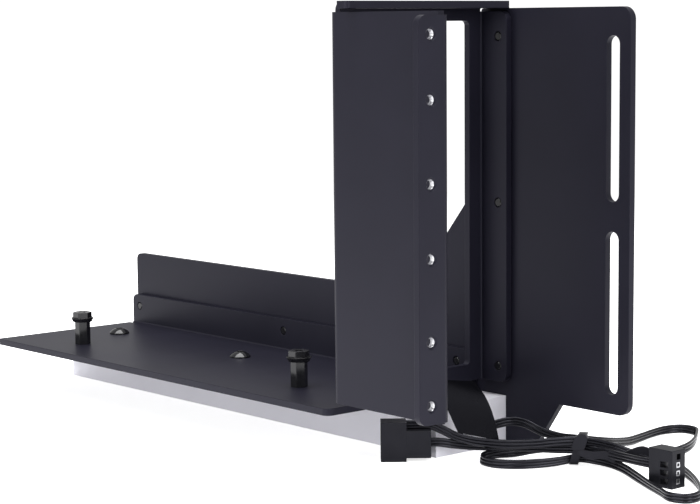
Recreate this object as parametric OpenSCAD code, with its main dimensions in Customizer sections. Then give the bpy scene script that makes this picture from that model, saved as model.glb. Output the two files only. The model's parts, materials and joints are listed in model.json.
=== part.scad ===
// Vertical graphics card mount: folded steel bracket on an acrylic light bar.
// Millimetres. X runs along the base to the rear of the case, Y away from the
// window side, Z up from the case floor. Modules draw from the base's near left
// corner, and the last lines move all of it to the frame's origin.

/* [Sheet metal] */
// Thickness of every steel sheet
sheet_t = 2.3; // [1.5:0.1:3]
// Inner radius of every fold
fold_r = 0.5; // [0.3:0.1:1.5]
// Radius of the free sheet corners
corner_r = 2.5; // [1:0.5:4]

/* [Base] */
// Length of the base plate
base_len = 196.4; // [170:0.2:240]
// Depth of the base plate over its rear flange
base_depth = 66; // [60:0.5:80]
// Height of the rear flange above the base's top face
flange_h = 11.5; // [9:0.5:16]

/* [Light bar] */
// Length of the acrylic bar
bar_len = 210; // [200:1:240]
// Depth of the acrylic bar
bar_depth = 32; // [26:1:40]
// Height of the acrylic bar
bar_h = 16.2; // [12:0.2:22]
// Width of the flexible light strip
strip_w = 10; // [8:1:12]
// Length of one light chip
chip_l = 5; // [3:0.5:6]
// Number of light chips
chip_count = 12; // [6:1:18]

/* [Card frame] */
// Gap between the base's end and the frame
frame_gap = 2.3; // [1:0.1:6]
// Gap between the base's top face and the frame
frame_lift = 2.5; // [1:0.1:6]
// Height of the frame's side walls
frame_h = 121.4; // [116:0.2:130]
// Length of the near wall, fold to fold
wall_len = 51.4; // [40:0.2:70]
// Width of the case flange with the threaded holes
case_flange_w = 12.8; // [11:0.2:18]
// Length of the far flange from the frame's front face
far_flange_len = 11.4; // [10:0.2:16]
// Length of the shelf that carries the card brackets
shelf_len = 11.3; // [10:0.1:16]
// Overhang of the shelf past the near wall
shelf_over = 4.5; // [2:0.5:12]
// Width of the frame's band beside the port opening
band_w = 7.8; // [6:0.2:12]
// Height of the frame's sill below the port opening
sill_h = 5.4; // [4:0.2:10]
// Height of the frame's lintel above the port opening
lintel_h = 3; // [2:0.2:8]

/* [Side plate] */
// Length of the side plate
plate_len = 263; // [240:1:300]
// Height of the low strip behind the base
strip_h = 46.5; // [40:0.5:60]
// Height of the plate's underside beyond the base
tail_lift = 16.5; // [12:0.5:24]
// Distance from the slots' centre line to the plate's end
slot_edge = 7.1; // [6:0.1:12]
// Width of the two long slots
slot_w = 5.3; // [4:0.1:6]
// Length of each long slot
slot_len = 51.4; // [40:0.2:54]
// Metal left between the two slots
slot_bridge = 9.2; // [6:0.2:16]

/* [Fasteners] */
// Play between a screw and its hole
screw_play = 0.1; // [0.05:0.05:0.3]
// Diameter of the joining screws
screw_d = 3; // [2.5:0.5:4]
// Head diameter of the joining screws
screw_head_d = 5.4; // [5:0.2:7]
// Thread diameter of the case and bracket holes
case_thread_d = 3; // [2.6:0.1:3.6]
// Diameter of the bevel around the case holes
case_bevel_d = 4.2; // [3.8:0.1:5.4]
// Head diameter of the bar screws
bar_screw_head_d = 7.6; // [6:0.2:9]
// Height of the bar screws' heads
bar_screw_head_h = 2.3; // [1.6:0.1:3]
// Diameter of the bar screws' shanks
bar_screw_d = 4; // [3:0.5:5]
// Depth of the bar screws in the acrylic
bar_screw_bite = 7; // [4:0.5:10]
// Width across flats of the riser standoffs
standoff_af = 5; // [4.5:0.5:6]
// Height of the riser standoffs
standoff_h = 8.6; // [6:0.2:14]
// Flange diameter of the riser screws
riser_flange_d = 8.6; // [7:0.2:10]

/* [Cable] */
// Diameter of the cable's stand-in tube
cable_d = 2.6; // [2:0.1:2.8]
// Width of the cable tie's band
tie_w = 2.8; // [2:0.2:4]
// Thickness of the cable tie's band
tie_t = 0.9; // [0.6:0.1:1.2]

/* [Hidden] */
$fn = 48;
eps = 0.01;
fold_out = fold_r + sheet_t;
base_top = bar_h + sheet_t;
flange_top = base_top + flange_h;
flange_y = base_depth - sheet_t;
plate_back = base_depth + sheet_t;
bar_y = base_depth - bar_depth;

frame_back = base_len + frame_gap;
frame_face = frame_back + sheet_t;
frame_z0 = base_top + frame_lift;
frame_z1 = frame_z0 + frame_h;
relief = 1;
shelf_z = frame_z1 + relief;
shelf_top = shelf_z + sheet_t;
shelf_end = frame_face + shelf_len;
shelf_tab = shelf_len * 0.42;
case_x = frame_back + wall_len;
case_y0 = sheet_t - case_flange_w;
case_hole_y = (case_y0 - fold_r) / 2;
case_inset = 1.2;
slot_pitch = 20.32;
case_pitches = [18.8, 24.3, 21.8, 24.3, 18.8];
case_mid = frame_z0 + frame_h / 2;
far_end = frame_face + far_flange_len;
port_y0 = band_w;
port_y1 = base_depth - band_w;
port_z0 = frame_z0 + sill_h;
port_z1 = frame_z1 - lintel_h;

// Screws that join flange and side plate, and frame and side plate.
flange_screw_x = [4.5, base_len / 2 - 1.5, base_len - 7.5];
flange_screw_z = base_top + flange_h * 0.6;
frame_screw_x = frame_face + 7.5;
frame_screw_low = 5.2;
frame_screw_high = 8;
frame_screw_z = [frame_z0 + frame_screw_low,
    case_mid + (frame_screw_low - frame_screw_high) / 2, frame_z1 - frame_screw_high];
plate_screws = concat(
    [for (x = flange_screw_x) [x, flange_screw_z]],
    [for (z = frame_screw_z) [frame_screw_x, z]]);

tail_past = 12.5;
tail_x = bar_len + tail_past;
tail_run = tail_lift * 0.7;
tower_x = frame_back;
gusset = 35;
slot_x = plate_len - slot_edge;
slot_z0 = tail_lift + 6.1;
slot_z1 = slot_z0 + slot_len + slot_bridge;

bar_screw_y = bar_y + 7.3;
bar_screw_x = [22.3, 99.2, 176.1];
bar_hole_d = bar_screw_d + 2 * screw_play;
groove_w = strip_w + 1;
groove_y = bar_y + bar_depth / 2;
pcb_t = 0.4;
chip_h = 1.6;
groove_d = pcb_t + chip_h + 0.4;
strip_x0 = 5;
strip_x1 = bar_len - 8;
exit_z = 8;
exit_d = 4.2;
duct_x = strip_x1 - 6;
grommet_lip = 2.5;
grommet_d = 4;
grommet_lip_d = 5.4;
standoffs = [[33.5, 16.8], [159.6, 19.1]];
stud_d = 3;
riser_thread = 6;
riser_bite = 5;
riser_hex = 6.2;
riser_flange_h = 1.5;
riser_head_h = 3.6;

// The loose cable, with its route points chosen by hand.
grommet_x = bar_len + grommet_lip;
floor_r = 1.4;
led_route = [
    [grommet_x, groove_y, exit_z], [214.2, 50, 8], [216.6, 51, 8.7],
    [218.9, 53.6, 9.8], [221.8, 56.6, 10.6], [226.2, 58.6, 10.2],
    [231.6, 60.3, 8.2], [238.6, 61.6, 7.2], [246.1, 62.2, 7.6],
    [248.2, 67.2, 6.6], [247.2, 75, 5], [244.6, 83, 3.4], [241.6, 91.6, 2],
    [238.8, 100.3, 1.5], [237, 108.5, floor_r], [236.4, 115.6, floor_r],
    [238.9, 121.4, floor_r], [244.6, 121.6, floor_r],
    [249.4, 116.2, floor_r], [254.4, 109, floor_r], [258.6, 101, floor_r],
    [260.6, 93, floor_r], [259.8, 86, floor_r], [257, 79.2, 1.8],
    [253.7, 72.5, 3], [250.2, 66.8, 4.2], [246.1, 62.2, 4.9],
    [239, 59.2, 4.3], [232.5, 56, 3.2], [227.4, 52.4, 1.8],
    [223.6, 47.6, floor_r], [223.4, 42.2, floor_r], [227.2, 38, floor_r],
    [233, 37.4, floor_r], [238.2, 40.6, floor_r], [242.3, 46.4, floor_r],
    [245.4, 53, 1.7], [247.9, 59.8, 2.2], [252.2, 62.9, 1.8],
    [258, 63.8, floor_r], [265.5, 61.2, floor_r], [274.5, 56.2, floor_r],
    [284.3, 50.6, floor_r], [292.6, 46.2, floor_r], [299, 43, floor_r],
    [304, 45, floor_r], [303.8, 50.8, floor_r], [299, 57, floor_r],
    [291.4, 64, floor_r], [283.4, 70, floor_r], [275.4, 74.6, floor_r],
    [267.4, 76.2, 1.6], [260.9, 72.9, 3], [256.2, 67.6, 5.6],
    [252, 63.3, 7.2], [247.9, 59.8, 7.7], [241.8, 55.2, 7],
    [235.3, 50.8, 6], [227.8, 45.6, 5.6], [220.6, 40.6, 6.2],
    [215.8, 37.3, 7.5], [212.8, 34.2, 9.6], [210.1, 31.2, 11.3],
    [207.2, 27.8, 11.5], [205.2, 25.5, 11.4]];
adapter_route = [
    [210.3, 31.4, 5.6], [212, 33.3, 5.6], [215, 38, 4.7],
    [219.4, 42.6, 4.2], [226.2, 48, 4.2], [233.6, 53.1, 4.3],
    [241.2, 56.6, 4.6], [247.9, 59.8, 4.95], [254.5, 62, 4.9],
    [261.5, 62, 4.8], [268.5, 60.2, 5.2], [274, 58.6, 5.6],
    [278.8, 58, 5.8], [280.8, 58, 5.8]];
tie_at = [247, 61];
tie_turn = 36.9;
tie_in_w = 3 + cable_d + 0.6;
tie_in_h = 8.2;

// The cable's label stands on its upper strand like a flag.
label_at = [216.4, 37.75, 8.75];
label_turn = 34.5;
label_t = 0.4;
label_shape = [[0, 0], [13.3, -1.8], [12.2, 3.2], [10.8, 6.7], [7.4, 13.5],
    [5.9, 16.4], [4.4, 17.1], [-7.5, 17.1]];

// The mated plug pair near the bar's corner, and the header plug.
pair_at = [202.6, 16.9];
pair_turn = 49;
socket_size = [8.2, 7.3, 12.7];
plug_size = [7.8, 7.3, 8.8];
plug_z = 1.2;
pin_pitch = 2.54;
pin_w = 0.64;
header_at = [280.8, 55];
header_size = [9, 6, 11.6];

// What rounding a square corner at the origin takes away.
module corner_waste(r) {
    difference() {
        translate([-eps, -eps])
            square(r + eps);
        translate([r, r])
            circle(r);
    }
}

// A rectangle with a radius for each corner, anticlockwise from the origin.
module plate_2d(w, h, radii) {
    difference() {
        square([w, h]);
        corner_waste(radii[0]);
        translate([w, 0])
            mirror([1, 0])
                corner_waste(radii[1]);
        translate([w, h])
            rotate(180)
                corner_waste(radii[2]);
        translate([0, h])
            mirror([0, 1])
                corner_waste(radii[3]);
    }
}

// An upright sheet along X, drawn as X and Z.
module sheet_xz(y, t = sheet_t) {
    translate([0, y + t, 0])
        rotate([90, 0, 0])
            linear_extrude(t)
                children();
}

// An upright sheet along Y, drawn as Y and Z.
module sheet_yz(x, t = sheet_t) {
    translate([x, 0, 0])
        rotate([90, 0, 90])
            linear_extrude(t)
                children();
}

// A quarter of a fold about the origin, in the quadrant of the two signs.
module fold_2d(sx, sy) {
    intersection() {
        difference() {
            circle(fold_out);
            circle(fold_r);
        }
        scale([sx, sy])
            square(fold_out);
    }
}

// A long slot drawn upright from its lower end.
module slot_2d(w, len) {
    translate([-w / 2, w / 2])
        square([w, len - w]);
    translate([0, w / 2])
        circle(d = w);
    translate([0, len - w / 2])
        circle(d = w);
}

// A round hole through an X-Z sheet.
module hole_y(x, z, y0, y1, d) {
    translate([x, y0, z])
        rotate([-90, 0, 0])
            cylinder(d = d, h = y1 - y0);
}

module base_plate() {
    color([0.17, 0.17, 0.2])
    difference() {
        union() {
            translate([0, 0, bar_h])
                linear_extrude(sheet_t)
                    plate_2d(base_len, base_depth - fold_out, [1, corner_r, 0, 0]);
            translate([0, base_depth - fold_out, bar_h + fold_out])
                rotate([90, 0, 90])
                    linear_extrude(base_len)
                        fold_2d(1, -1);
            translate([0, 0, bar_h + fold_out])
                sheet_xz(flange_y)
                    plate_2d(base_len, flange_top - bar_h - fold_out, [0, 0, corner_r, corner_r]);
        }
        translate([-eps, base_depth - fold_out - 1.4, bar_h - eps])
            cube([3, 1.4, sheet_t + 2 * eps]);
        for (x = flange_screw_x)
            hole_y(x, flange_screw_z, flange_y - eps, base_depth + eps, screw_d + 2 * screw_play);
        for (x = bar_screw_x)
            translate([x, bar_screw_y, bar_h - eps])
                cylinder(d = bar_hole_d, h = sheet_t + 2 * eps);
        for (p = standoffs)
            translate([p[0], p[1], bar_h - eps])
                cylinder(d = stud_d + 2 * screw_play, h = sheet_t + 2 * eps);
    }
}

module side_plate_2d() {
    plate_2d(tower_x, strip_h, [0, 0, 0, corner_r]);
    polygon([[tower_x - gusset, strip_h - eps], [tower_x + eps, strip_h - eps], [tower_x + eps, strip_h + gusset * 1.18]]);
    translate([tower_x, tail_lift])
        plate_2d(plate_len - tower_x, shelf_z - tail_lift, [0, 4, 4, 1]);
    polygon([[tower_x - eps, 0], [tail_x, 0], [tail_x + tail_run, tail_lift + eps], [tower_x - eps, tail_lift + eps]]);
}

module side_plate() {
    color([0.15, 0.15, 0.18])
    difference() {
        sheet_xz(base_depth)
            difference() {
                side_plate_2d();
                for (z = [slot_z0, slot_z1])
                    translate([slot_x, z])
                        slot_2d(slot_w, slot_len);
            }
        for (p = plate_screws) {
            hole_y(p[0], p[1], base_depth - eps, plate_back + eps, screw_d + 2 * screw_play);
            translate([p[0], plate_back + eps, p[1]])
                rotate([90, 0, 0])
                    cylinder(d1 = screw_head_d + 2 * screw_play, d2 = screw_d, h = (screw_head_d - screw_d) / 2 + screw_play);
        }
    }
}

// Frame plate, walls, flanges and shelf are one folded sheet.
module card_frame() {
    color([0.2, 0.2, 0.24])
    difference() {
        union() {
            sheet_yz(frame_back)
                translate([fold_out, frame_z0])
                    square([base_depth - 2 * fold_out, shelf_z - frame_z0 - fold_r + eps]);
            translate([frame_back + fold_out, fold_out, frame_z0])
                linear_extrude(frame_h)
                    fold_2d(-1, -1);
            translate([frame_back + fold_out, 0, frame_z0])
                sheet_xz(0)
                    square([wall_len - 2 * fold_out, frame_h]);
            translate([case_x - fold_out, sheet_t - fold_out, frame_z0 + case_inset])
                linear_extrude(frame_h - 2 * case_inset)
                    fold_2d(1, 1);
            sheet_yz(case_x - sheet_t)
                translate([case_y0, frame_z0 + case_inset])
                    plate_2d(case_flange_w - fold_out, frame_h - 2 * case_inset, [3, 0, 0, 3]);
            translate([frame_back + fold_out, base_depth - fold_out, frame_z0])
                linear_extrude(frame_h)
                    fold_2d(-1, 1);
            translate([frame_back + fold_out, 0, frame_z0])
                sheet_xz(flange_y)
                    plate_2d(far_end - frame_back - fold_out, frame_h, [0, 3, 3, 0]);
            translate([frame_back + fold_out, base_depth - fold_out, shelf_z - fold_r])
                rotate([90, 0, 0])
                    linear_extrude(base_depth - 2 * fold_out)
                        fold_2d(-1, 1);
            translate([0, 0, shelf_z])
                linear_extrude(sheet_t)
                    shelf_2d();
        }
        sheet_yz(frame_back - eps, sheet_t + 2 * eps)
            translate([port_y0, port_z0])
                plate_2d(port_y1 - port_y0, port_z1 - port_z0, [1.5, 1.5, 1.5, 1.5]);
        for (z = frame_screw_z)
            hole_y(frame_screw_x, z, flange_y - eps, base_depth + eps, screw_d + 2 * screw_play);
        for (i = [0 : len(case_pitches)])
            case_hole(case_hole_z(i));
        for (i = [0 : 2])
            translate([frame_face + shelf_len / 2 + 0.6, shelf_hole_y(i), shelf_z - eps])
                cylinder(d = case_thread_d, h = sheet_t + 2 * eps);
    }
}

module shelf_2d() {
    translate([frame_back + fold_out, fold_out])
        square([shelf_len - fold_r, base_depth - 2 * fold_out]);
    translate([frame_face + fold_r, fold_out])
        plate_2d(shelf_len - fold_r, base_depth - fold_out, [0, 0, 1.5, 0.5]);
    translate([shelf_end - shelf_tab, -shelf_over])
        plate_2d(shelf_tab, shelf_over + fold_out + eps, [0.5, 1.5, 0, 0]);
}

module case_hole(z) {
    translate([case_x - sheet_t - eps, case_hole_y, z])
        rotate([0, 90, 0])
            cylinder(d = case_thread_d, h = sheet_t + 2 * eps);
    translate([case_x + eps, case_hole_y, z])
        rotate([0, -90, 0])
            cylinder(d1 = case_bevel_d, d2 = case_thread_d, h = (case_bevel_d - case_thread_d) / 2);
}

function sum_to(list, n) = n <= 0 ? 0 : list[n - 1] + sum_to(list, n - 1);
function case_hole_z(i) = case_mid - sum_to(case_pitches, len(case_pitches)) / 2 + sum_to(case_pitches, i);
function shelf_hole_y(i) = base_depth / 2 - shelf_over / 2 + (i - 1) * slot_pitch;

module light_bar() {
    color([0.78, 0.78, 0.82])
    difference() {
        translate([0, bar_y, 0])
            cube([bar_len, bar_depth, bar_h]);
        translate([strip_x0 - 1, groove_y - groove_w / 2, bar_h - groove_d])
            cube([strip_x1 - strip_x0 + 2, groove_w, groove_d + eps]);
        translate([duct_x, groove_y, exit_z])
            rotate([0, 90, 0])
                cylinder(d = exit_d, h = bar_len - duct_x + eps);
        translate([duct_x, groove_y - exit_d / 2, exit_z])
            cube([exit_d, exit_d, bar_h - groove_d - exit_z + eps]);
        for (x = bar_screw_x)
            translate([x, bar_screw_y, bar_h - bar_screw_bite - 0.5])
                cylinder(d = bar_hole_d, h = bar_screw_bite + 0.5 + eps);
    }
}

module led_strip() {
    color("white")
    translate([strip_x0, groove_y - strip_w / 2, bar_h - pcb_t])
        cube([strip_x1 - strip_x0, strip_w, pcb_t]);
}

module led_chips() {
    pitch = (strip_x1 - strip_x0) / chip_count;
    color("lightyellow")
    for (i = [0 : chip_count - 1])
        translate([strip_x0 + (i + 0.5) * pitch - chip_l / 2, groove_y - chip_l / 2, bar_h - pcb_t - chip_h])
            cube([chip_l, chip_l, chip_h]);
}

// Rubber bush that carries the cable out of the bar's end.
module cable_grommet() {
    color([0.05, 0.05, 0.05])
    translate([bar_len, groove_y, exit_z])
        rotate([0, 90, 0]) {
            translate([0, 0, -grommet_d])
                cylinder(d = grommet_d, h = grommet_d + eps);
            cylinder(d = grommet_lip_d, h = grommet_lip);
        }
}

module bar_screws() {
    color([0.06, 0.06, 0.07])
    for (x = bar_screw_x)
        translate([x, bar_screw_y, 0]) {
            translate([0, 0, bar_h - bar_screw_bite])
                cylinder(d = bar_screw_d, h = bar_screw_bite + sheet_t + eps);
            translate([0, 0, base_top])
                button_head(bar_screw_head_d, bar_screw_head_h, 2.5);
        }
}

// A domed head with a hexagon socket.
module button_head(d, h, key) {
    difference() {
        intersection() {
            cylinder(d = d, h = h);
            translate([0, 0, h - dome_r(d, h)])
                sphere(dome_r(d, h));
        }
        translate([0, 0, h * 0.45])
            cylinder(d = key * 1.155, h = h, $fn = 6);
    }
}

// Radius of the dome that falls from the head's top to 0.5 mm above its rim.
function dome_r(d, h) = (pow(d / 2, 2) + pow(h - 0.5, 2)) / (2 * (h - 0.5));

// Countersunk screws from the plate's back, flush with the flange's face.
tip_bevel = 0.35;
module countersunk(x, z) {
    translate([x, plate_back, z])
        rotate([90, 0, 0])
            difference() {
                union() {
                    cylinder(d1 = screw_head_d, d2 = screw_d, h = (screw_head_d - screw_d) / 2);
                    cylinder(d = screw_d, h = plate_back - flange_y - tip_bevel);
                    translate([0, 0, plate_back - flange_y - tip_bevel - eps])
                        cylinder(d1 = screw_d, d2 = screw_d - 2 * tip_bevel, h = tip_bevel + eps);
                }
                translate([0, 0, -eps])
                    cylinder(d = 2.3, h = 1, $fn = 6);
            }
}

module flange_screws() {
    color("silver")
    for (x = flange_screw_x)
        countersunk(x, flange_screw_z);
}

module frame_screws() {
    color("silver")
    for (z = frame_screw_z)
        countersunk(frame_screw_x, z);
}

module riser_standoffs() {
    color([0.05, 0.05, 0.06])
    for (p = standoffs)
        translate([p[0], p[1], 0])
            difference() {
                union() {
                    translate([0, 0, base_top])
                        cylinder(d = standoff_af * 1.155, h = standoff_h, $fn = 6);
                    translate([0, 0, bar_h])
                        cylinder(d = stud_d, h = sheet_t + eps);
                }
                translate([0, 0, base_top + standoff_h - riser_thread])
                    cylinder(d = stud_d + 2 * screw_play, h = riser_thread + eps);
            }
}

module riser_screws() {
    color([0.05, 0.05, 0.06])
    for (p = standoffs)
        translate([p[0], p[1], base_top + standoff_h])
            difference() {
                union() {
                    translate([0, 0, -riser_bite])
                        cylinder(d = stud_d, h = riser_bite + eps);
                    cylinder(d1 = riser_flange_d - 1.4, d2 = riser_flange_d, h = riser_flange_h);
                    cylinder(d = riser_hex * 1.155, h = riser_head_h, $fn = 6);
                }
                for (a = [0, 90])
                    rotate(a)
                        translate([-2, -0.5, riser_head_h - 1.6])
                            cube([4, 1, 2]);
            }
}

// A round tube swept along a route of points.
function unit(v) = v / norm(v);
function heading(path, i) = unit(path[min(i + 1, len(path) - 1)] - path[max(i - 1, 0)]);
function ring(path, i, r, sides) =
    let (t = heading(path, i), s = unit(cross(t, [0, 0, 1])), u = cross(s, t))
    [for (k = [0 : sides - 1]) path[i] + r * (cos(360 * k / sides) * s + sin(360 * k / sides) * u)];

module tube_along(path, d, sides = 8) {
    rings = len(path);
    points = [for (i = [0 : rings - 1]) each ring(path, i, d / 2, sides)];
    skin = [for (i = [0 : rings - 2], k = [0 : sides - 1])
        [i * sides + k, (i + 1) * sides + k, (i + 1) * sides + (k + 1) % sides, i * sides + (k + 1) % sides]];
    first = [for (k = [0 : sides - 1]) k];
    last = [for (k = [sides - 1 : -1 : 0]) (rings - 1) * sides + k];
    polyhedron(points, concat(skin, [first, last]));
}

module led_cable() {
    color([0.07, 0.07, 0.08])
        tube_along(led_route, cable_d);
}

module adapter_cable() {
    color([0.07, 0.07, 0.08])
        tube_along(adapter_route, cable_d);
}

// Places a piece of the plug pair, drawn along the pair's length.
module on_pair() {
    translate(pair_at)
        rotate(pair_turn)
            children();
}

pair_gap = 0.1;
pin_z = plug_z + plug_size[2] / 2;

module pair_pins(x0, x1, w) {
    for (i = [-1 : 1])
        translate([x0, plug_size[1] / 2 - w / 2, pin_z + i * pin_pitch - w / 2])
            cube([x1 - x0, w, w]);
}

module socket_housing() {
    color([0.08, 0.08, 0.1])
    on_pair()
        difference() {
            cube(socket_size);
            pair_pins(1.2, socket_size[0] + eps, 1.6);
        }
}

module socket_contacts() {
    color("gold")
    on_pair()
        difference() {
            pair_pins(1.2, 6.2, 1.4);
            pair_pins(2.2, 6.2 + eps, pin_w + 2 * pair_gap);
        }
}

module plug_housing() {
    color([0.08, 0.08, 0.1])
    on_pair()
        difference() {
            translate([socket_size[0], 0, plug_z])
                cube(plug_size);
            pair_pins(socket_size[0] - eps, socket_size[0] + 5 + eps, pin_w + 2 * eps);
        }
}

module plug_pins() {
    color("gold")
    on_pair()
        pair_pins(2.6, socket_size[0] + 5, pin_w);
}

// Heights of the header's three used ways, lowest first.
function way_z(i) = header_size[2] / 2 + (i - 1.5) * pin_pitch;

module header_way(i, x0, x1, w) {
    translate([header_at[0] + x0, header_at[1] + header_size[1] / 2 - w / 2, way_z(i) - w / 2])
        cube([x1 - x0, w, w]);
}

module header_housing() {
    color([0.08, 0.08, 0.1])
    difference() {
        translate([header_at[0], header_at[1], 0])
            cube(header_size);
        for (i = [0 : 3])
            header_way(i, 2, header_size[0] + eps, 1.8);
        for (i = [0, 1, 2])
            translate([header_at[0] + 4.4, header_at[1] - eps, way_z(i) - 0.9])
                cube([3, header_size[1] / 2, 1.8]);
    }
}

module header_contacts() {
    color("silver")
    for (i = [0, 1, 2])
        difference() {
            header_way(i, 2, header_size[0] - 0.1, 1.6);
            header_way(i, 3.4, header_size[0], pin_w + 0.3);
        }
}

// Drawn around the bundle, with its band across the bundle's run.
module cable_tie() {
    color([0.05, 0.05, 0.06])
    translate([tie_at[0], tie_at[1], 0])
        rotate(tie_turn) {
            translate([-tie_w / 2, 0, 0])
                rotate([90, 0, 90])
                    linear_extrude(tie_w)
                        difference() {
                            translate([-tie_in_w / 2 - tie_t, 0])
                                plate_2d(tie_in_w + 2 * tie_t, tie_in_h + 2 * tie_t, [1.6, 1.6, 1.6, 1.6]);
                            translate([-tie_in_w / 2, tie_t])
                                plate_2d(tie_in_w, tie_in_h, [0.8, 0.8, 0.8, 0.8]);
                        }
            translate([-2.2, -tie_in_w / 2 - tie_t - 3, tie_in_h + tie_t - 3.4])
                cube([4.4, 3 + eps, 4.4]);
        }
}

module cable_label() {
    color([0.04, 0.04, 0.05])
    translate(label_at)
        rotate(label_turn)
            translate([0, label_t / 2, 0])
                rotate([90, 0, 0])
                    linear_extrude(label_t)
                        polygon(label_shape);
}

// The frame's origin is the middle of the light bar's underside.
translate([-bar_len / 2, -groove_y, 0]) {
    base_plate();
    side_plate();
    card_frame();
    light_bar();
    led_strip();
    led_chips();
    cable_grommet();
    bar_screws();
    flange_screws();
    frame_screws();
    riser_standoffs();
    riser_screws();
    led_cable();
    socket_housing();
    socket_contacts();
    plug_housing();
    plug_pins();
    adapter_cable();
    header_housing();
    header_contacts();
    cable_tie();
    cable_label();
}
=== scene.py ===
"""Looks of the vertical graphics card mount: camera, cables, label, tie and finishes."""

import json
import math

import bmesh
import bpy
from mathutils import Matrix, Vector


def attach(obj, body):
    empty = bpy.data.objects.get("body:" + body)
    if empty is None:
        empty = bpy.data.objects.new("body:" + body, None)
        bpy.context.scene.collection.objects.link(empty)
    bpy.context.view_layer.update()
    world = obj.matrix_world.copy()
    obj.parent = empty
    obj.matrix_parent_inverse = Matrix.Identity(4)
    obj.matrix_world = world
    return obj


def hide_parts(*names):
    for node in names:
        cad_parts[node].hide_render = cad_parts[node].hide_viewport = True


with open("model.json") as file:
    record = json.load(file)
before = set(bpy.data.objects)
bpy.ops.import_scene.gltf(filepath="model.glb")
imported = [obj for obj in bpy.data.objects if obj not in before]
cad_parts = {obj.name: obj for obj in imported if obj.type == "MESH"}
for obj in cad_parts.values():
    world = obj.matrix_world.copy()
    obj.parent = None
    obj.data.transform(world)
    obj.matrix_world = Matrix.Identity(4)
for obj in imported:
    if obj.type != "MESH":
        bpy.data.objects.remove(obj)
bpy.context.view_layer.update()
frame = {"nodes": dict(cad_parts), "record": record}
parts = frame["nodes"]

MM = 0.001
UP = Vector((0, 0, 1))

# Points are drawn in millimetres from the base's near left corner, which is here in the frame.
CORNER = Vector((-105, -50, 0))

# Camera, solved from the sheet edges in the photograph. Place in millimetres, angles in degrees.
CAMERA_AT = (664.96, -398.86, 139.31)
CAMERA_YAW, CAMERA_DROP, CAMERA_ROLL = 41.107, 6.591, 0.486
FOCAL_PX = 1990.1
PHOTO_W = 700
SENSOR_W = 36
CLIP_NEAR, CLIP_FAR = 0.05, 20

# Cables. Every point is the middle of a ribbon of three wires. A ribbon's sway is counted in rings.
WIRE_D = 1.08
WIRE_STEP = 0.96
RING_GAP = 1
SWAY_FADE = 8
SWAY_RUN = 9
EXIT = (212.5, 50, 8)
FLOOR_R = 1.5
LED_ROUTE = [
    EXIT, (214.2, 50, 8), (216.6, 51, 8.7), (218.9, 53.6, 9.8),
    (221.8, 56.6, 10.6), (226.2, 58.6, 10.2), (231.6, 60.3, 8.2),
    (238.6, 61.6, 7.2), (246.1, 62.2, 7.6), (248.2, 67.2, 6.6),
    (247.2, 75, 5), (244.6, 83, 3.4), (241.6, 91.6, 2),
    (238.8, 100.3, 1.5), (237, 108.5, FLOOR_R), (236.4, 115.6, FLOOR_R),
    (238.9, 121.4, FLOOR_R), (244.6, 121.6, FLOOR_R),
    (249.4, 116.2, FLOOR_R), (254.4, 109, FLOOR_R), (258.6, 101, FLOOR_R),
    (260.6, 93, FLOOR_R), (259.8, 86, FLOOR_R), (257, 79.2, 1.8),
    (253.7, 72.5, 3), (250.2, 66.8, 4.2), (246.1, 62.2, 4.9),
    (239, 59.2, 4.3), (232.5, 56, 3.2), (227.4, 52.4, 1.8),
    (223.6, 47.6, FLOOR_R), (223.4, 42.2, FLOOR_R), (227.2, 38, FLOOR_R),
    (233, 37.4, FLOOR_R), (238.2, 40.6, FLOOR_R), (242.3, 46.4, FLOOR_R),
    (245.4, 53, 1.7), (247.9, 59.8, 2.2), (252.2, 62.9, 1.8),
    (258, 63.8, FLOOR_R), (265.5, 61.2, FLOOR_R), (274.5, 56.2, FLOOR_R),
    (284.3, 50.6, FLOOR_R), (292.6, 46.2, FLOOR_R), (299, 43, FLOOR_R),
    (304, 45, FLOOR_R), (303.8, 50.8, FLOOR_R), (299, 57, FLOOR_R),
    (291.4, 64, FLOOR_R), (283.4, 70, FLOOR_R), (275.4, 74.6, FLOOR_R),
    (267.4, 76.2, 1.6), (260.9, 72.9, 3), (256.2, 67.6, 5.6),
    (252, 63.3, 7.2), (247.9, 59.8, 7.7), (241.8, 55.2, 7),
    (235.3, 50.8, 6), (227.8, 45.6, 5.6), (220.6, 40.6, 6.2),
    (215.8, 37.3, 7.5), (212.8, 34.2, 9.6), (210.1, 31.2, 11.3),
    (207.2, 27.8, 11.5), (205.2, 25.5, 11.4)]
ADAPTER_ROUTE = [
    (210.3, 31.4, 5.6), (212, 33.3, 5.6), (215, 38, 4.7),
    (219.4, 42.6, 4.2), (226.2, 48, 4.2), (233.6, 53.1, 4.3),
    (241.2, 56.6, 4.6), (247.9, 59.8, 4.95), (254.5, 62, 4.9),
    (261.5, 62, 4.8), (268.5, 60.2, 5.2), (274, 58.6, 5.6),
    (278.8, 58, 5.8), (280.8, 58, 5.8)]

# Label, drawn along its strand and upwards from the strand's top. It narrows upwards on both sides.
LABEL_AT = (216.4, 37.75, 8.6)
LABEL_TURN = 34.5
LABEL_T = 0.25
LABEL_H = 17.1
LABEL_W = 13.2
LABEL_TAPER, LABEL_ROUND = 3.0, 5.0
LABEL_SHIFT = 7.5
LABEL_SAG = 1.8
LABEL_BULGE, LABEL_LEAN = 1.1, 0.5
LABEL_ROWS, LABEL_COLUMNS = 24, 16

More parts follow.
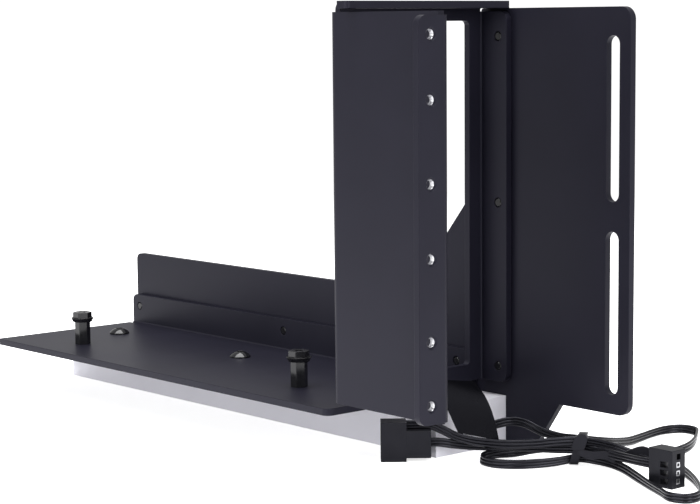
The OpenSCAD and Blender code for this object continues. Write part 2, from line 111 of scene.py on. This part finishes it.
# Cable tie around the bundle. Head points are along and up, tail points along, out and up.
TIE_AT = (247, 61)
TIE_TURN = 36.9
TIE_LEAN = 0.3
TIE_W, TIE_T = 2.8, 0.9
TIE_IN_W, TIE_IN_H = 6.2, 8.2
TIE_IN_R, TIE_OUT_R = 2, 2.8
TIE_SIDE = -TIE_IN_W / 2 - TIE_T
STRAP_W = 2.4
HEAD_OUT, HEAD_IN = 2.6, 0.4
TIE_HEAD = [(-1.9, 5.8), (1.9, 5.8), (2.1, 6.4), (2.1, 9.6),
            (0.9, 10.8), (-0.9, 10.8), (-2.1, 9.6), (-2.1, 6.4)]
TIE_TAIL = [(0, 1.3, 7), (1.4, 1.6, 5), (5, 1.9, 4.2), (9.5, 2, 4.4), (13, 2.1, 3), (16.5, 2.4, 5.2),
            (20, 2.8, 6.6), (23.5, 3, 5), (25.5, 3.2, 2.2)]
TAIL_GAP = 0.6

# Thread ridges in the case flange's holes.
THREAD_R = 1.5
THREAD_DEPTH = 0.22
THREAD_PITCH = 0.57
THREAD_TURNS = 3
THREAD_HALF = 0.84
THREAD_SIDES = 28

# Studio. The paper's reach and height are in millimetres, the rest in metres.
PAPER_REACH, PAPER_Z = 6000, -0.05
PAPER_GLOW = 0.68
PAPER_FADE = (0.35, 0.9)
FAR_WHITE = (0.7, 1.05)
SKY_LIGHT = 0.6
SKY_SEEN = 1.1
WHITE = (1, 1, 1, 1)
COOL_GLOSS = (0.86, 0.86, 1, 1)


def in_frame(point):
    return (Vector(point) + CORNER) * MM


def add_camera():
    yaw, drop, roll = (math.radians(a) for a in (CAMERA_YAW, CAMERA_DROP, CAMERA_ROLL))
    level = Vector((-math.cos(yaw), math.sin(yaw), 0))
    side = Vector((math.sin(yaw), math.cos(yaw), 0))
    ahead = math.cos(drop) * level - math.sin(drop) * UP
    down = -math.cos(drop) * UP - math.sin(drop) * level
    right = math.cos(roll) * side + math.sin(roll) * down
    below = math.cos(roll) * down - math.sin(roll) * side
    data = bpy.data.cameras.new("camera")
    data.sensor_fit = "HORIZONTAL"
    data.sensor_width = SENSOR_W
    data.lens = FOCAL_PX * SENSOR_W / PHOTO_W
    data.clip_start = CLIP_NEAR
    data.clip_end = CLIP_FAR
    camera = bpy.data.objects.new("camera", data)
    turn = Matrix((right, -below, -ahead)).transposed().to_4x4()
    camera.matrix_world = Matrix.Translation(in_frame(CAMERA_AT)) @ turn
    bpy.context.scene.collection.objects.link(camera)
    bpy.context.scene.camera = camera


# Meshes

def add_mesh(name, points, faces, smooth_deg=None):
    """A piece from points in millimetres. Faces smooth across bends under smooth_deg."""
    mesh = bpy.data.meshes.new(name)
    mesh.from_pydata([in_frame(p) for p in points], [], faces)
    work = bmesh.new()
    work.from_mesh(mesh)
    bmesh.ops.recalc_face_normals(work, faces=work.faces)
    if smooth_deg is not None:
        for face in work.faces:
            face.smooth = True
        for edge in work.edges:
            edge.smooth = edge.calc_face_angle(0) < math.radians(smooth_deg)
    work.to_mesh(mesh)
    work.free()
    piece = bpy.data.objects.new(name, mesh)
    bpy.context.scene.collection.objects.link(piece)
    return piece


def smooth_path(points, step):
    """Catmull-Rom points along a route, about step apart."""
    knots = [Vector(p) for p in points]
    path = []
    for i in range(len(knots) - 1):
        a, b = knots[i], knots[i + 1]
        before = knots[i - 1] if i else a + (a - b)
        after = knots[i + 2] if i + 2 < len(knots) else b + (b - a)
        count = max(2, math.ceil((b - a).length / step))
        for k in range(count):
            t = k / count
            path.append(0.5 * (2 * a + (b - before) * t
                               + (2 * before - 5 * a + 4 * b - after) * t ** 2
                               + (3 * a - before - 3 * b + after) * t ** 3))
    path.append(knots[-1])
    return path


def sweep(path, section, lean=lambda i: 0):
    """Rings and faces of a section, as (side, up) points, carried along a path."""
    points, faces = [], []
    count = len(section)
    for i, p in enumerate(path):
        ahead = (path[min(i + 1, len(path) - 1)] - path[max(i - 1, 0)]).normalized()
        side = ahead.cross(UP).normalized()
        up = side.cross(ahead)
        turn = math.radians(lean(i))
        a = math.cos(turn) * side + math.sin(turn) * up
        b = math.cos(turn) * up - math.sin(turn) * side
        points += [p + x * a + y * b for x, y in section]
    for i in range(len(path) - 1):
        near, far = i * count, (i + 1) * count
        for k in range(count):
            j = (k + 1) % count
            faces.append((near + k, near + j, far + j, far + k))
    faces.append(tuple(range(count))[::-1])
    faces.append(tuple(range((len(path) - 1) * count, len(path) * count)))
    return points, faces


# Cables

def ribbon_section(sides=7):
    """Outline of three wires that are moulded together, one above another."""
    cut = math.degrees(math.acos(WIRE_STEP / WIRE_D))
    outline = []
    for row, start, end in ((1, cut - 90, 270 - cut), (0, 90 + cut, 270 - cut),
                            (-1, 90 + cut, 450 - cut), (0, cut - 90, 90 - cut)):
        for k in range(sides + 1):
            angle = math.radians(start + (end - start) * k / sides)
            up = row * WIRE_STEP + math.sin(angle) * WIRE_D / 2
            outline.append((math.cos(angle) * WIRE_D / 2, up))
    return outline


def add_ribbon(name, route, sway_deg, phase):
    """A ribbon that stands on edge and sways a little along its run."""
    path = smooth_path(route, RING_GAP)
    last = len(path) - 1

    def lean(i):
        fade = min(1, i / SWAY_FADE, (last - i) / SWAY_FADE)
        return fade * sway_deg * math.sin(i / SWAY_RUN + phase)

    points, faces = sweep(path, ribbon_section(), lean)
    return add_mesh(name, points, faces, 50), path


# Label

def label_place(s, t):
    """A point of the label: s runs from left to right, and t from foot to top."""
    turn = math.radians(LABEL_TURN)
    along = Vector((math.cos(turn), math.sin(turn), 0))
    towards = Vector((along.y, -along.x, 0))
    right = LABEL_W - LABEL_TAPER * t - LABEL_ROUND * t ** 3
    left = -LABEL_SHIFT * t
    x = left + (right - left) * s
    z = LABEL_H * t - LABEL_SAG * (1 - t) ** 1.5 * s
    bulge = LABEL_BULGE * math.sin(math.pi * t) * (0.4 + 0.6 * s) + LABEL_LEAN * t * t
    return Vector(LABEL_AT) + x * along + z * UP + bulge * towards, towards


def add_label():
    """The label is a curved film that stands on its strand like a flag."""
    front, back = [], []
    for row in range(LABEL_ROWS + 1):
        for column in range(LABEL_COLUMNS + 1):
            place, towards = label_place(column / LABEL_COLUMNS, row / LABEL_ROWS)
            front.append(place + LABEL_T / 2 * towards)
            back.append(place - LABEL_T / 2 * towards)
    wide = LABEL_COLUMNS + 1
    shift = len(front)
    faces = []
    for row in range(LABEL_ROWS):
        for column in range(LABEL_COLUMNS):
            a = row * wide + column
            quad = (a, a + 1, a + wide + 1, a + wide)
            faces += [quad, tuple(shift + v for v in reversed(quad))]
    rim = list(range(LABEL_COLUMNS))
    rim += [row * wide + LABEL_COLUMNS for row in range(LABEL_ROWS)]
    rim += [LABEL_ROWS * wide + column for column in range(LABEL_COLUMNS, 0, -1)]
    rim += [row * wide for row in range(LABEL_ROWS, 0, -1)]
    for a, b in zip(rim, rim[1:] + rim[:1]):
        faces.append((a, b, shift + b, shift + a))
    return add_mesh("label_flag", front + back, faces, 50)


# Tie

def rounded_loop(w, h, r, parts_per_turn=6):
    """Points of a rounded rectangle about x = 0, standing on y = 0."""
    loop = []
    reach = w / 2 - r
    for cx, cy, start in ((reach, r, -90), (reach, h - r, 0), (-reach, h - r, 90), (-reach, r, 180)):
        for k in range(parts_per_turn + 1):
            angle = math.radians(start + 90 * k / parts_per_turn)
            loop.append((cx + r * math.cos(angle), cy + r * math.sin(angle)))
    return loop


def tie_point(along, across, up):
    """A point of the tie, which leans along the bundle."""
    turn = math.radians(TIE_TURN)
    along += TIE_LEAN * (up - TIE_IN_H / 2 - TIE_T)
    return Vector((TIE_AT[0] + along * math.cos(turn) - across * math.sin(turn),
                   TIE_AT[1] + along * math.sin(turn) + across * math.cos(turn), up))


def tie_band():
    inner = rounded_loop(TIE_IN_W, TIE_IN_H, TIE_IN_R)
    outer = rounded_loop(TIE_IN_W + 2 * TIE_T, TIE_IN_H + 2 * TIE_T, TIE_OUT_R)
    points, faces = [], []
    count = len(inner)
    for along in (-TIE_W / 2, TIE_W / 2):
        points += [tie_point(along, x, z + TIE_T) for x, z in inner]
        points += [tie_point(along, x, z) for x, z in outer]
    for k in range(count):
        j = (k + 1) % count
        faces += [(k, j, 2 * count + j, 2 * count + k),
                  (count + k, 3 * count + k, 3 * count + j, count + j),
                  (k, count + k, count + j, j),
                  (2 * count + k, 2 * count + j, 3 * count + j, 3 * count + k)]
    return points, faces


def tie_head():
    points = [tie_point(along, across, up)
              for across in (TIE_SIDE - HEAD_OUT, TIE_SIDE + HEAD_IN) for along, up in TIE_HEAD]
    count = len(TIE_HEAD)
    faces = [tuple(range(count)), tuple(reversed(range(count, 2 * count)))]
    for k in range(count):
        j = (k + 1) % count
        faces.append((k, j, count + j, count + k))
    return points, faces


def tie_tail():
    path = smooth_path([tie_point(along, TIE_SIDE - out, up) for along, out, up in TIE_TAIL], TAIL_GAP)
    x, y = TIE_T / 2, STRAP_W / 2
    return sweep(path, [(-x, -y), (x, -y), (x, y), (-x, y)])


def add_tie():
    """Band, head and loose tail of the tie are one piece."""
    points, faces = [], []
    for more, skin in (tie_band(), tie_head(), tie_tail()):
        faces += [tuple(len(points) + v for v in face) for face in skin]
        points += more
    return add_mesh("zip_tie", points, faces, 35)


# Threads

def add_threads():
    """Ridges inside the case holes, on the holes' own radius."""
    profile = []
    for turn in range(THREAD_TURNS):
        profile += [(THREAD_PITCH * turn, THREAD_R),
                    (THREAD_PITCH * (turn + 0.5), THREAD_R - THREAD_DEPTH)]
    profile.append((THREAD_PITCH * THREAD_TURNS, THREAD_R))
    points, faces = [], []
    for mount in frame["record"]["mounts"]:
        if not mount["name"].startswith("case_hole_"):
            continue
        at = Vector(mount["pos_m"]) / MM - CORNER
        base = len(points)
        for x, r in profile:
            for k in range(THREAD_SIDES):
                angle = math.tau * k / THREAD_SIDES
                points.append((at.x - THREAD_HALF + x,
                               at.y + r * math.cos(angle), at.z + r * math.sin(angle)))
        for ring in range(len(profile)):
            near = base + ring * THREAD_SIDES
            far = base + (ring + 1) % len(profile) * THREAD_SIDES
            for k in range(THREAD_SIDES):
                j = (k + 1) % THREAD_SIDES
                faces.append((near + k, near + j, far + j, far + k))
    return add_mesh("case_threads", points, faces, 25)


# Finishes

def new_material(name):
    made = bpy.data.materials.new(name)
    made.use_nodes = True
    nodes = made.node_tree.nodes
    shader = nodes["Principled BSDF"]
    where = nodes.new("ShaderNodeTexCoord")
    return made, nodes, made.node_tree.links, shader, where.outputs["Object"]


def add_noise(nodes, links, where, scale):
    noise = nodes.new("ShaderNodeTexNoise")
    noise.inputs["Scale"].default_value = scale
    noise.inputs["Detail"].default_value = 2
    links.new(where, noise.inputs["Vector"])
    return noise.outputs["Fac"]


def add_ramp(nodes, links, fac, low, high):
    ramp = nodes.new("ShaderNodeValToRGB")
    first, second = ramp.color_ramp.elements
    first.position, second.position = 0.3, 0.7
    first.color = (*low, 1)
    second.color = (*high, 1)
    links.new(fac, ramp.inputs["Fac"])
    return ramp.outputs["Color"]


def add_range(nodes, links, fac, low, high):
    spread = nodes.new("ShaderNodeMapRange")
    spread.inputs["To Min"].default_value = low
    spread.inputs["To Max"].default_value = high
    links.new(fac, spread.inputs["Value"])
    return spread.outputs["Result"]


def add_bump(nodes, links, shader, fac, depth_mm, strength, bevel_mm):
    bump = nodes.new("ShaderNodeBump")
    bump.inputs["Strength"].default_value = strength
    bump.inputs["Distance"].default_value = depth_mm * MM
    links.new(fac, bump.inputs["Height"])
    if bevel_mm:
        bevel = nodes.new("ShaderNodeBevel")
        bevel.samples = 4
        bevel.inputs["Radius"].default_value = bevel_mm * MM
        links.new(bevel.outputs["Normal"], bump.inputs["Normal"])
    links.new(bump.outputs["Normal"], shader.inputs["Normal"])


def surface(name, low, high, rough, metallic=0.0, patch=40, grain=1500, depth_mm=0.02,
            strength=0.2, bevel_mm=0, **extra):
    """A finish with slow colour patches, uneven gloss, a fine grain and softened edges."""
    made, nodes, links, shader, where = new_material(name)
    slow = add_noise(nodes, links, where, patch)
    fine = add_noise(nodes, links, where, grain)
    links.new(add_ramp(nodes, links, slow, low, high), shader.inputs["Base Color"])
    links.new(add_range(nodes, links, slow, rough[0], rough[1]), shader.inputs["Roughness"])
    shader.inputs["Metallic"].default_value = metallic
    for socket, value in extra.items():
        shader.inputs[socket.replace("_", " ")].default_value = value
    add_bump(nodes, links, shader, fine, depth_mm, strength, bevel_mm)
    return made


def dress(names, made):
    for name in names:
        parts[name].data.materials.clear()
        parts[name].data.materials.append(made)


# Studio

def add_area(name, at, aim, size, power):
    data = bpy.data.lights.new(name, "AREA")
    data.shape = "RECTANGLE"
    data.size, data.size_y = size
    data.energy = power
    lamp = bpy.data.objects.new(name, data)
    lamp.location = at
    lamp.rotation_euler = (Vector(aim) - Vector(at)).to_track_quat("-Z", "Y").to_euler()
    bpy.context.scene.collection.objects.link(lamp)


def add_floor():
    """Pale paper that glows only for the camera, and turns plain white away from the object."""
    made, nodes, links, shader, where = new_material("paper_floor")
    ray = nodes.new("ShaderNodeLightPath")
    seen = ray.outputs["Is Camera Ray"]
    tone = add_noise(nodes, links, where, 3)
    colour = add_ramp(nodes, links, tone, (0.90, 0.90, 0.91), (0.93, 0.93, 0.94))
    links.new(colour, shader.inputs["Base Color"])
    shader.inputs["Roughness"].default_value = 0.9
    shader.inputs["Specular IOR Level"].default_value = 0.1
    shader.inputs["Emission Color"].default_value = WHITE
    links.new(add_range(nodes, links, seen, 0, PAPER_GLOW), shader.inputs["Emission Strength"])
    far = nodes.new("ShaderNodeVectorMath")
    far.operation = "LENGTH"
    links.new(where, far.inputs[0])
    fade = nodes.new("ShaderNodeMapRange")
    fade.inputs["From Min"].default_value = PAPER_FADE[0]
    fade.inputs["From Max"].default_value = PAPER_FADE[1]
    links.new(far.outputs["Value"], fade.inputs["Value"])
    white = nodes.new("ShaderNodeEmission")
    white.inputs["Color"].default_value = WHITE
    links.new(add_range(nodes, links, seen, *FAR_WHITE), white.inputs["Strength"])
    mix = nodes.new("ShaderNodeMixShader")
    links.new(fade.outputs["Result"], mix.inputs["Fac"])
    links.new(shader.outputs["BSDF"], mix.inputs[1])
    links.new(white.outputs["Emission"], mix.inputs[2])
    links.new(mix.outputs["Shader"], nodes["Material Output"].inputs["Surface"])
    r = PAPER_REACH
    corners = [(-r, -r, PAPER_Z), (r, -r, PAPER_Z), (r, r, PAPER_Z), (-r, r, PAPER_Z)]
    floor = add_mesh("floor", corners, [(0, 1, 2, 3)])
    floor.data.materials.append(made)


def add_world():
    """One pale sky that lights the object, and a white one that only the camera sees."""
    world = bpy.data.worlds.new("studio")
    bpy.context.scene.world = world
    world.use_nodes = True
    nodes, links = world.node_tree.nodes, world.node_tree.links
    shade = nodes["Background"]
    shade.inputs["Color"].default_value = WHITE
    shade.inputs["Strength"].default_value = SKY_LIGHT
    plain = nodes.new("ShaderNodeBackground")
    plain.inputs["Color"].default_value = WHITE
    plain.inputs["Strength"].default_value = SKY_SEEN
    ray = nodes.new("ShaderNodeLightPath")
    mix = nodes.new("ShaderNodeMixShader")
    links.new(ray.outputs["Is Camera Ray"], mix.inputs["Fac"])
    links.new(shade.outputs["Background"], mix.inputs[1])
    links.new(plain.outputs["Background"], mix.inputs[2])
    links.new(mix.outputs["Shader"], nodes["World Output"].inputs["Surface"])


add_camera()
led_ribbon, led_path = add_ribbon("led_ribbon", LED_ROUTE, 12, 0.4)
adapter_ribbon, adapter_path = add_ribbon("adapter_ribbon", ADAPTER_ROUTE, 8, 2)
label_flag = add_label()
zip_tie = add_tie()
case_threads = add_threads()

steel = surface("powder_coat", (0.0074, 0.0071, 0.0125), (0.0090, 0.0086, 0.0150), (0.38, 0.44),
                grain=2600, depth_mm=0.03, strength=0.25, bevel_mm=0.35, Specular_IOR_Level=0.20,
                Specular_Tint=(0.84, 0.83, 1, 1))
acrylic = surface("frosted_acrylic", (0.86, 0.85, 0.92), (0.89, 0.88, 0.95), (0.34, 0.40), patch=25,
                  grain=1800, strength=0.1, bevel_mm=0.4, Transmission_Weight=0.15)
black_screw = surface("black_screw", (0.006, 0.006, 0.007), (0.010, 0.010, 0.012), (0.08, 0.16),
                      metallic=0.2, patch=300, grain=1200, strength=0.05, bevel_mm=0.25)
bright_steel = surface("bright_steel", (0.55, 0.55, 0.58), (0.68, 0.68, 0.70), (0.24, 0.34),
                       metallic=1.0, patch=400, grain=3000, strength=0.1)
plastic = surface("black_plastic", (0.004, 0.004, 0.0055), (0.006, 0.006, 0.008), (0.34, 0.46), patch=200,
                  grain=2200, strength=0.15, bevel_mm=0.3, Specular_IOR_Level=0.22, Specular_Tint=COOL_GLOSS)
wire_skin = surface("wire_skin", (0.004, 0.004, 0.0055), (0.006, 0.006, 0.008), (0.18, 0.26), patch=150,
                    grain=900, strength=0.08, Specular_IOR_Level=0.3, Specular_Tint=COOL_GLOSS)
strip_white = surface("strip_white", (0.75, 0.75, 0.74), (0.85, 0.85, 0.84), (0.4, 0.5), patch=200)
gold = surface("gold_plate", (0.75, 0.52, 0.18), (0.85, 0.62, 0.25), (0.2, 0.3), metallic=1.0, patch=500)
film = surface("label_film", (0.002, 0.002, 0.003), (0.003, 0.003, 0.004), (0.16, 0.24), patch=120,
               grain=400, depth_mm=0.05, strength=0.1, Specular_IOR_Level=0.10, Specular_Tint=COOL_GLOSS)

dress(("base_plate", "side_plate", "card_frame"), steel)
dress(("light_bar",), acrylic)
dress(("led_strip", "led_chips"), strip_white)
dress(("bar_screws", "riser_standoffs", "riser_screws", "flange_screws", "frame_screws"), black_screw)
dress(("header_contacts",), bright_steel)
dress(("socket_contacts", "plug_pins"), gold)
dress(("cable_grommet", "socket_housing", "plug_housing", "header_housing", "cable_tie"), plastic)
dress(("led_cable", "adapter_cable"), wire_skin)
dress(("cable_label",), film)
for piece, finish, slot in ((led_ribbon, wire_skin, "cable_skin"), (adapter_ribbon, wire_skin, "cable_skin"),
                            (label_flag, film, "label_film"), (zip_tie, plastic, "black_plastic"),
                            (case_threads, bright_steel, "bright_steel")):
    piece.data.materials.append(finish)
    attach(piece, "root")

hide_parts("led_cable")
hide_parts("adapter_cable")
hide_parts("cable_label")
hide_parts("cable_tie")

add_floor()
add_world()
add_area("front_light", (0.2, -1.5, 0.5), (0, 0, 0.02), (1.6, 0.9), 15)
add_area("side_light", (1.5, 0.1, 0.6), (0.1, 0, 0.07), (0.9, 0.9), 13)
add_area("top_light", (0.0, -0.1, 1.5), (0, 0, 0), (1.2, 1.2), 34)
bpy.context.scene.view_settings.view_transform = "Standard"
